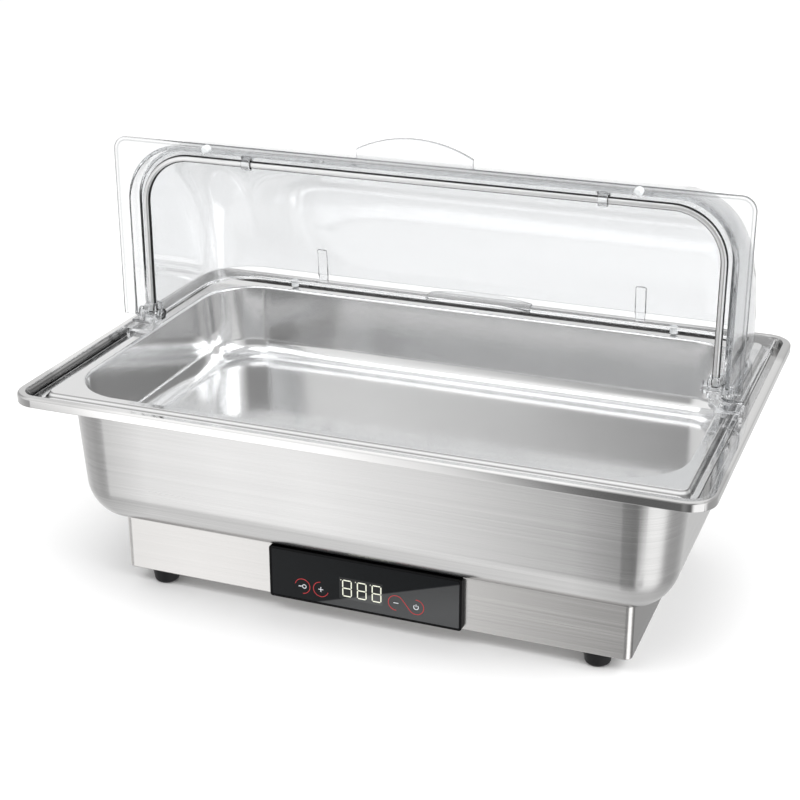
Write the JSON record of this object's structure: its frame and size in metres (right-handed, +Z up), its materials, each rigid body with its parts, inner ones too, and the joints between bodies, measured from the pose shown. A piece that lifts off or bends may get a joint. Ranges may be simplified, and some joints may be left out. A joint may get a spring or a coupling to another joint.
{
  "type": "electric chafing dish",
  "caption": "Electric chafing dish with a food pan hung in a heated water pan on a low base, a front touch panel and a clear two-part roll-top cover that pivots on the pan's flange.",
  "frame": {"origin": "middle of the dish on the table that its feet stand on", "axes": "+X along the long side to the right of someone facing the control panel, +Y to the rear, +Z up"},
  "size_m": [0.56, 0.358, 0.3755],
  "materials": {
    "brushed_steel": "fine horizontal brushing",
    "polished_steel": "polished",
    "chrome": "bright chrome",
    "clear_plastic": "clear polycarbonate, glossy",
    "plated_steel": "zinc plated",
    "aluminium": "mill finish",
    "rubber": "matt black",
    "black_plastic": "fine satin",
    "panel_glass": "gloss black touch glass",
    "circuit_board": "green solder mask",
    "insulation": "ceramic fibre mat",
    "component": "moulded"
  },
  "bodies": {
    "base": {"base_housing": "brushed_steel", "water_pan": "brushed_steel", "bottom_plate": "plated_steel", "bottom_screws": "plated_steel", "foot_screws": "plated_steel", "foot_nuts": "plated_steel", "heater_studs": "plated_steel", "element_clamp": "plated_steel", "clamp_nuts": "plated_steel", "heating_element": "plated_steel", "temperature_probe": "plated_steel", "board_screws": "plated_steel", "control_screws": "plated_steel", "heat_plate": "aluminium", "foot_front_left": "rubber", "foot_front_right": "rubber", "foot_rear_left": "rubber", "foot_rear_right": "rubber", "cord_gland": "black_plastic", "gland_nut": "black_plastic", "panel_bezel": "black_plastic", "thermal_cutoff": "black_plastic", "touch_pads": "black_plastic", "panel_glass": "panel_glass", "power_board": "circuit_board", "control_board": "circuit_board", "insulation_pad": "insulation", "relay": "component", "transformer": "component", "terminal_block": "component", "display_module": "component"},
    "food_pan": {"food_pan": "polished_steel"},
    "cover_frame": {"bracket_left": "clear_plastic", "bracket_right": "clear_plastic", "hinge_pin_left": "clear_plastic", "hinge_pin_right": "clear_plastic", "pin_cap_left": "clear_plastic", "pin_cap_right": "clear_plastic", "rear_lid": "clear_plastic", "rear_lid_bumpers": "clear_plastic", "cover_rod": "chrome"},
    "front_lid": {"front_lid": "clear_plastic", "front_lid_bumpers": "clear_plastic"}
  },
  "joints": [
    {"name": "food_pan_lift", "type": "slide", "parent": "base", "child": "food_pan", "axis": [0, 0, 1], "range_m": [0, 0.12]},
    {"name": "cover_lift", "type": "slide", "parent": "food_pan", "child": "cover_frame", "axis": [0, 0, 1], "range_m": [0, 0.08]},
    {"name": "front_lid_swing", "type": "hinge", "parent": "cover_frame", "child": "front_lid", "pos_m": [0, 0, 0.198], "axis": [1, 0, 0], "range_deg": [0, 90]}
  ]
}
